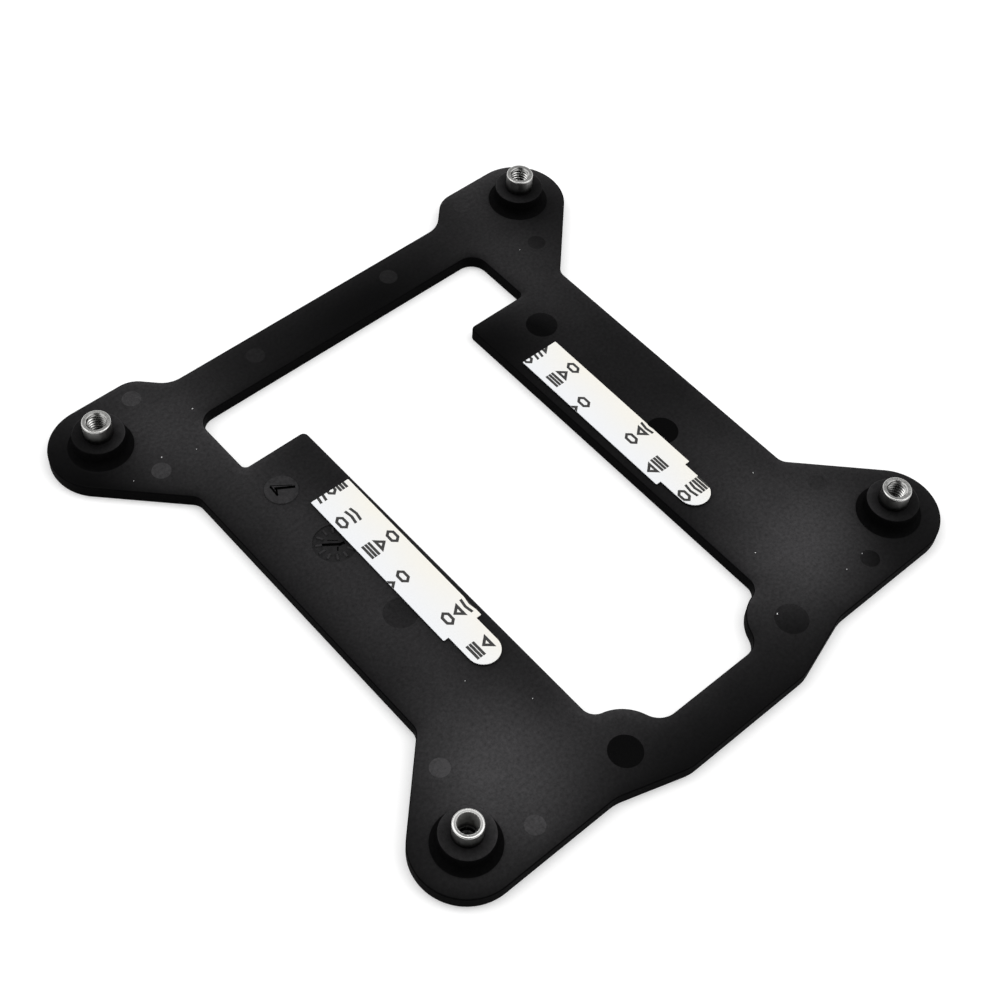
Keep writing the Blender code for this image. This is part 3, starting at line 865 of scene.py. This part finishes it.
def standoff_mesh(name, bottom, top, start, stain):
    """Standoff about its own axis: hexagonal head, round barrel and a threaded blind bore."""
    work = bmesh.new()
    dirt_and_shade = work.verts.layers.float.new("dirt_and_shade")
    matt = work.verts.layers.float.new("matt")
    head_top = bottom + HEAD_THICKNESS
    hexes = [
        ring(work, hexagon((0, 0), HEAD_ACROSS_FLATS - inset), height)
        for inset, height in ((2 * HEAD_CHAMFER, bottom), (0, bottom + HEAD_CHAMFER / 2), (0, head_top))
    ]
    loft(work, hexes)
    fill(work, [hexes[0]])
    for vert in work.verts:
        vert[dirt_and_shade] = HEAD_DIRT
        vert[matt] = 1
    rings = []
    for radius, height, dark, dull in barrel_profile(head_top, top, stain):
        rings.append(ring(work, circle((0, 0), radius, ROUND_SEGMENTS), height))
        for vert in rings[-1]:
            vert[dirt_and_shade] = dark
            vert[matt] = dull
    fill(work, [hexes[-1], rings[0]])
    loft(work, rings)
    threaded = BORE_DEPTH - RIM_DROP - BORE_RADIUS * math.tan(DRILL_POINT_SLOPE)
    bore_wall(work, dirt_and_shade, matt, top - RIM_DROP, threaded, start)
    floor = ring(work, circle((0, 0), BORE_RADIUS, ROUND_SEGMENTS), top - RIM_DROP - threaded)
    point = work.verts.new((0, 0, top - BORE_DEPTH))
    # The bore's floor and point are painted fully dark as shade
    for vert in (*floor, point):
        vert[dirt_and_shade] = 1
    for i, vert in enumerate(floor):
        work.faces.new((vert, floor[(i + 1) % ROUND_SEGMENTS], point))
    bmesh.ops.remove_doubles(work, verts=work.verts, dist=MERGE_DISTANCE)
    bmesh.ops.dissolve_degenerate(work, edges=work.edges, dist=MERGE_DISTANCE)
    return closed_mesh(name, work)


def make_standoffs(material):
    """A finished standoff in place of each packed one."""
    for node, (x, y) in post_places().items():
        low, high = node_box(node)
        start, stain = THREAD_START.get(node, 0), RIM_STAIN.get(node, 0)
        mesh = standoff_mesh(node + "_finished", low.z, high.z, start, stain)
        standoff = add_piece(mesh.name, mesh, material, (x, y, 0))
        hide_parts(node)


def print_shapes(kind):
    """Outlines of one printed mark about its middle; where two overlap, the paper shows."""
    top, side = PRINT_HEIGHT / 2, PRINT_WIDTH / 2
    if kind == "bars":
        return [
            [(x, -top), (x + PRINT_STROKE, -top), (x + PRINT_STROKE, top), (x, top)]
            for x in (-side, -PRINT_STROKE / 2, side - PRINT_STROKE)
        ]
    if kind == "chevrons":
        wing = 2 * side - 2 * PRINT_STROKE
        return [
            [(x, -top), (x + PRINT_STROKE, -top), (x + wing, 0), (x + PRINT_STROKE, top), (x, top),
             (x + wing - PRINT_STROKE, 0)]
            for x in (-side, -side + 2 * PRINT_STROKE)
        ]
    if kind == "ring":
        shoulder = top / 2
        outer = [
            (side, -shoulder), (side, shoulder), (0, top),
            (-side, shoulder), (-side, -shoulder), (0, -top),
        ]
    else:
        outer = [(side, 0), (-side, top), (-side, -top)]
    return [outer, offset(outer, -PRINT_STROKE)]


def liner_height(y):
    """Rise of the liner above its flat place: the bare tab lifts a little towards its end."""
    reach = max(0, -y - STRIP_LENGTH) / TAB_LENGTH
    return TAB_LIFT * reach * reach


def liner_mesh(name, rows, bottom):
    """Liner about its upper end, with the print as faces of a second material."""
    outline = divided(liner_outline(), LINER_GRID_STEP)
    polygons = [outline]
    for kind, x, y, half_turns in rows:
        turn = Matrix.Rotation(math.pi * half_turns, 2)
        for shape in print_shapes(kind):
            polygons.append([tuple(turn @ Vector(point) + Vector((x, y))) for point in shape])
    points, loops = [], []
    for polygon in polygons:
        loops.append(list(range(len(points), len(points) + len(polygon))))
        points += [Vector(point) for point in polygon]
    points += grid_points([Vector(point) for point in outline], LINER_GRID_STEP)
    result = geometry.delaunay_2d_cdt(points, [], loops, 0, LINER_PRECISION)
    out_points, _, triangles, _, _, owners = result
    work = bmesh.new()
    verts = [work.verts.new((*point, bottom + liner_height(point.y))) for point in out_points]
    for triangle, owner in zip(triangles, owners):
        if 0 in owner:
            face = work.faces.new([verts[i] for i in triangle])
            face.material_index = 1 if len(owner) % 2 == 0 else 0
    bmesh.ops.delete(work, geom=[vert for vert in verts if not vert.link_faces], context="VERTS")
    sheet = list(work.faces)
    printed = [face.material_index for face in sheet]
    thick = bmesh.ops.extrude_face_region(work, geom=sheet, use_keep_orig=True)
    raised = [item for item in thick["geom"] if isinstance(item, bmesh.types.BMVert)]
    bmesh.ops.translate(work, verts=raised, vec=(0, 0, LINER_THICKNESS))
    for face in work.faces:
        if face.normal.z == 0 or max(vert.co.z for vert in face.verts) < bottom + LINER_THICKNESS / 2:
            face.material_index = 0
    return closed_mesh(name, work)


def make_liners(paper, ink):
    """A printed liner in place of each packed one."""
    for side, rows in (("left", PRINT_LEFT), ("right", PRINT_RIGHT)):
        node = f"release_liner_{side}"
        low, high = node_box(node)
        mesh = liner_mesh(node + "_finished", rows, low.z)
        lean = STRIP_LENGTH * math.sin(-STRIP_TURN) + STRIP_WIDTH / 2 * math.cos(STRIP_TURN)
        place = (low.x + lean, high.y - STRIP_WIDTH / 2 * math.sin(-STRIP_TURN), 0)
        liner = add_piece(mesh.name, mesh, paper, place)
        mesh.materials.append(ink)
        liner.rotation_euler.z = STRIP_TURN
        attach(liner, "root")
        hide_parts(node)


def dress_tapes(material):
    """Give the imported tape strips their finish."""
    for side in ("left", "right"):
        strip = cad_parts[f"tape_strip_{side}"]
        strip.data.materials.clear()
        strip.data.materials.append(material)


def make_dust(material):
    """Small flakes of dust lying on the plate."""
    work = bmesh.new()
    for i, (x, y, width) in enumerate(DUST):
        place = Matrix.Translation((x, y + PATTERN_Y, PLATE_THICKNESS + width * DUST_RISE))
        shape = Matrix.Rotation(i * DUST_TURN, 4, "Z") @ Matrix.Diagonal((*DUST_SHAPE, 1))
        bmesh.ops.create_icosphere(work, subdivisions=2, radius=width / 2, matrix=place @ shape)
    add_piece("dust_specks", closed_mesh("dust_specks", work), material)


def add_node(tree, kind, inputs=None, **settings):
    """Shader node with its settings, and inputs that are values or links to other sockets."""
    node = tree.nodes.new(kind)
    for key, value in settings.items():
        setattr(node, key, value)
    for key, value in (inputs or {}).items():
        if isinstance(value, bpy.types.NodeSocket):
            tree.links.new(value, node.inputs[key])
        else:
            node.inputs[key].default_value = value
    return node


def noise(tree, place, size, detail, rough):
    """Noise whose features are about the given size in millimetres, as a value from 0 to 1."""
    made = add_node(tree, "ShaderNodeTexNoise", {
        "Vector": place, "Scale": 1 / (size * MM), "Detail": detail, "Roughness": rough,
    })
    return made.outputs["Fac"]


def remap(tree, value, low, high, to_low, to_high):
    """Value moved linearly from one range to another, and kept inside it."""
    made = add_node(tree, "ShaderNodeMapRange", {
        "Value": value, "From Min": low, "From Max": high, "To Min": to_low, "To Max": to_high,
    })
    return made.outputs["Result"]


def spread(tree, value, low, high):
    """Value over the usual span of a noise, moved to another range."""
    return remap(tree, value, *NOISE_SPAN, low, high)


def maths(tree, operation, first, second):
    """Result of an operation on two values."""
    made = add_node(tree, "ShaderNodeMath", {0: first, 1: second}, operation=operation)
    return made.outputs["Value"]


def blend_colours(tree, amount, first, second):
    """Colour between two colours."""
    made = add_node(tree, "ShaderNodeMix", {0: amount, 6: first, 7: second}, data_type="RGBA")
    return made.outputs[2]


def new_material(name, **sockets):
    """Material with values set on its shader; returns it with its tree, shader and object place."""
    material = bpy.data.materials.new(name)
    material.use_nodes = True
    tree = material.node_tree
    shader = tree.nodes["Principled BSDF"]
    for key, value in sockets.items():
        shader.inputs[key.replace("_", " ")].default_value = value
    place = add_node(tree, "ShaderNodeTexCoord").outputs["Object"]
    return material, tree, shader, place


def attribute(tree, name):
    """Value that the mesh carries under a name."""
    return add_node(tree, "ShaderNodeAttribute", attribute_name=name).outputs["Fac"]


def bump(tree, shader, height, strength, relief):
    """Surface relief of a height value, in millimetres at its highest."""
    made = add_node(tree, "ShaderNodeBump", {
        "Height": height, "Strength": strength, "Distance": relief * MM,
    })
    tree.links.new(made.outputs["Normal"], shader.inputs["Normal"])


def plastic_material():
    """Black moulded plastic: spark-eroded grain, painted sheen and shade over the plate, toned marks."""
    material, tree, shader, place = new_material("moulded_plastic", Specular_IOR_Level=0.03)
    tone = attribute(tree, "tone")
    cloud = noise(tree, place, size=6.0, detail=3.0, rough=0.6)
    mottle = noise(tree, place, size=0.5, detail=4.0, rough=0.7)
    grain = noise(tree, place, size=0.15, detail=2.0, rough=0.6)
    # The plate's colour follows its points' painted sheen and shade, and the tone of its marks
    shade = maths(tree, "ADD", attribute(tree, "painted_light"), maths(tree, "MULTIPLY", tone, TONE_SHADE))
    shade = maths(tree, "MULTIPLY", shade, spread(tree, cloud, *CLOUD_SHARE))
    shade = maths(tree, "MULTIPLY", shade, spread(tree, mottle, *MOTTLE_SHARE))
    tree.links.new(blend_colours(tree, shade, *PLASTIC_COLOURS), shader.inputs["Base Color"])
    gloss = remap(tree, maths(tree, "ADD", cloud, mottle), *SUM_SPAN, *PLASTIC_ROUGHNESS)
    gloss = maths(tree, "ADD", gloss, maths(tree, "MULTIPLY", tone, TONE_ROUGHNESS))
    tree.links.new(gloss, shader.inputs["Roughness"])
    bump(tree, shader, maths(tree, "ADD", grain, mottle), strength=0.7, relief=0.02)
    return material


def shaded_side_material():
    """The same plastic made darker and less glossy, as painted shade on the plate's upright edges and
    the bosses' walls.
    """
    material, tree, shader, place = new_material("moulded_side_painted_shade", Specular_IOR_Level=0.005)
    mottle = noise(tree, place, size=0.7, detail=4.0, rough=0.7)
    tree.links.new(blend_colours(tree, mottle, *SHADED_SIDE_COLOURS), shader.inputs["Base Color"])
    tree.links.new(spread(tree, mottle, *SIDE_ROUGHNESS), shader.inputs["Roughness"])
    bump(tree, shader, mottle, strength=0.7, relief=0.02)
    return material


def metal_material():
    """Plated steel with fine turning marks round the axis, a matt barrel, and dirt and painted shade at
    its foot, in its roots and deep in the bore.
    """
    material, tree, shader, place = new_material("standoff_metal", Metallic=1.0)
    stretched = add_node(tree, "ShaderNodeMapping", {"Vector": place, "Scale": TURNING_STRETCH})
    lines = noise(tree, stretched.outputs["Vector"], size=0.6, detail=1.0, rough=0.5)
    patches = noise(tree, place, size=0.5, detail=2.0, rough=0.5)
    # Dirt and painted shade darken the metal
    dirt_and_shade = remap(tree, attribute(tree, "dirt_and_shade"), *DIRT_AND_SHADE_SPAN, 0, 1)
    bright = blend_colours(tree, patches, *METAL_COLOURS)
    tree.links.new(blend_colours(tree, dirt_and_shade, bright, DIRT_AND_SHADE_COLOUR), shader.inputs["Base Color"])
    matt = maths(tree, "MULTIPLY", attribute(tree, "matt"), MATT_ROUGHNESS)
    gloss = maths(tree, "ADD", spread(tree, patches, *METAL_ROUGHNESS), matt)
    tree.links.new(gloss, shader.inputs["Roughness"])
    bump(tree, shader, lines, strength=0.08, relief=0.002)
    return material


def tape_material():
    """Black adhesive tape with a fine fibrous grain."""
    material, tree, shader, place = new_material("adhesive_tape", Specular_IOR_Level=0.3)
    fibres = noise(tree, place, size=0.15, detail=3.0, rough=0.7)
    tree.links.new(blend_colours(tree, fibres, *TAPE_COLOURS), shader.inputs["Base Color"])
    tree.links.new(spread(tree, fibres, *TAPE_ROUGHNESS), shader.inputs["Roughness"])
    bump(tree, shader, fibres, strength=0.6, relief=0.03)
    return material


def paper_material():
    """White coated release paper, a touch warmer towards one side, with a faint fibre."""
    material, tree, shader, place = new_material("liner_paper", Specular_IOR_Level=0.5)
    fibre = noise(tree, place, size=0.35, detail=4.0, rough=0.6)
    cloud = noise(tree, place, size=9.0, detail=1.0, rough=0.5)
    across = add_node(tree, "ShaderNodeSeparateXYZ", {"Vector": place}).outputs["X"]
    half = STRIP_WIDTH / 2 * MM
    warmth = remap(tree, across, -half, half, 0, 1)
    warmth = maths(tree, "MULTIPLY", warmth, spread(tree, cloud, WARMTH_LEAST, 1))
    colour = blend_colours(tree, warmth, *PAPER_COLOURS)
    tint = blend_colours(tree, spread(tree, fibre, 0, FIBRE_SHARE), colour, FIBRE_COLOUR)
    tree.links.new(tint, shader.inputs["Base Color"])
    tree.links.new(spread(tree, fibre, *PAPER_ROUGHNESS), shader.inputs["Roughness"])
    bump(tree, shader, fibre, strength=0.15, relief=0.01)
    return material


def ink_material():
    """Dark grey print, a little uneven where it wets the coating."""
    material, tree, shader, place = new_material("liner_print", Specular_IOR_Level=0.4, Roughness=0.5)
    speckle = noise(tree, place, size=0.2, detail=3.0, rough=0.6)
    colour = blend_colours(tree, remap(tree, speckle, *INK_SPAN, 0, 1), *INK_COLOURS)
    tree.links.new(colour, shader.inputs["Base Color"])
    return material


def dust_material():
    """Pale dust."""
    material, tree, shader, place = new_material("dust", Specular_IOR_Level=0.2, Roughness=0.9)
    speckle = noise(tree, place, size=0.08, detail=2.0, rough=0.6)
    tree.links.new(blend_colours(tree, speckle, *DUST_COLOURS), shader.inputs["Base Color"])
    return material


def seen_ray(tree):
    """1 for rays of the camera, of reflections and through glass, and 0 for others."""
    path = add_node(tree, "ShaderNodeLightPath")
    seen = maths(tree, "MAXIMUM", path.outputs["Is Camera Ray"], path.outputs["Is Glossy Ray"])
    return maths(tree, "MAXIMUM", seen, path.outputs["Is Transmission Ray"])


def make_floor():
    """Wide pale floor that shows white and keeps the bracket's shadow."""
    work = bmesh.new()
    bmesh.ops.create_grid(work, x_segments=FLOOR_PIECES, y_segments=FLOOR_PIECES, size=FLOOR_REACH)
    mesh = bpy.data.meshes.new("floor")
    work.to_mesh(mesh)
    work.free()
    floor = bpy.data.objects.new("floor", mesh)
    bpy.context.scene.collection.objects.link(floor)
    material = bpy.data.materials.new("floor")
    material.use_nodes = True
    tree = material.node_tree
    tree.nodes.remove(tree.nodes["Principled BSDF"])
    matt = add_node(tree, "ShaderNodeBsdfDiffuse", {"Color": FLOOR_COLOUR})
    glow_strength = maths(tree, "MULTIPLY", seen_ray(tree), FLOOR_GLOW)
    glow = add_node(tree, "ShaderNodeEmission", {"Strength": glow_strength})
    both = add_node(tree, "ShaderNodeAddShader", {0: matt.outputs[0], 1: glow.outputs[0]})
    tree.links.new(both.outputs[0], tree.nodes["Material Output"].inputs["Surface"])
    mesh.materials.append(material)


def view_directions():
    """Level directions away from the camera and to the right of its picture."""
    across = Vector(CAMERA_AIM[:2]) - Vector(CAMERA_PLACE[:2])
    away = Vector((across.x, across.y, 0)).normalized()
    return away, Vector((away.y, -away.x, 0))


def make_light():
    """Wide soft lamp above and beyond the bracket, in a white room that is dark by the camera."""
    away, right = view_directions()
    lamp = bpy.data.lights.new("overhead", "AREA")
    lamp.shape = "RECTANGLE"
    lamp.size, lamp.size_y = LAMP_SIZE
    lamp.energy = LAMP_POWER
    thing = bpy.data.objects.new("overhead", lamp)
    bpy.context.scene.collection.objects.link(thing)
    thing.location = away * LAMP_BEYOND + Vector((0, 0, LAMP_HEIGHT))
    thing.rotation_euler.z = math.atan2(right.y, right.x)
    world = bpy.data.worlds.new("studio")
    world.use_nodes = True
    bpy.context.scene.world = world
    tree = world.node_tree
    direction = add_node(tree, "ShaderNodeTexCoord").outputs["Generated"]
    far = add_node(tree, "ShaderNodeVectorMath", {0: direction, 1: away}, operation="DOT_PRODUCT")
    side = add_node(tree, "ShaderNodeVectorMath", {0: direction, 1: right}, operation="DOT_PRODUCT")
    height = add_node(tree, "ShaderNodeSeparateXYZ", {"Vector": direction}).outputs["Z"]
    aside = maths(tree, "ABSOLUTE", side.outputs["Value"], 0)
    walls = []
    for way, span, fade in ((far.outputs["Value"], FAR_WALL_SPAN, FAR_WALL_FADE),
                            (aside, SIDE_WALL_SPAN, SIDE_WALL_FADE)):
        wall = remap(tree, way, *span, ROOM_NEAR, 1)
        walls.append(maths(tree, "MULTIPLY", wall, remap(tree, height, *fade, 1, ROOM_UPPER)))
    background = tree.nodes["Background"]
    background.inputs["Color"].default_value = (1, 1, 1, 1)
    tree.links.new(maths(tree, "MAXIMUM", *walls), background.inputs["Strength"])
    bpy.context.scene.view_settings.view_transform = "Standard"


def make_camera():
    """Camera at the photograph's viewing angle."""
    lens = bpy.data.cameras.new("camera")
    lens.lens = CAMERA_LENS
    lens.sensor_width = CAMERA_SENSOR
    lens.clip_start = CAMERA_CLIP_START
    camera = bpy.data.objects.new("camera", lens)
    bpy.context.scene.collection.objects.link(camera)
    place = Vector(CAMERA_PLACE) * MM
    view = (Vector(CAMERA_AIM) * MM - place).to_track_quat("-Z", "Y").to_matrix().to_4x4()
    camera.matrix_world = Matrix.Translation(place) @ view @ Matrix.Rotation(CAMERA_ROLL, 4, "Z")
    bpy.context.scene.camera = camera


make_plate(plastic_material(), shaded_side_material())
make_standoffs(metal_material())
make_liners(paper_material(), ink_material())
make_dust(dust_material())
dress_tapes(tape_material())
make_floor()
make_light()
make_camera()
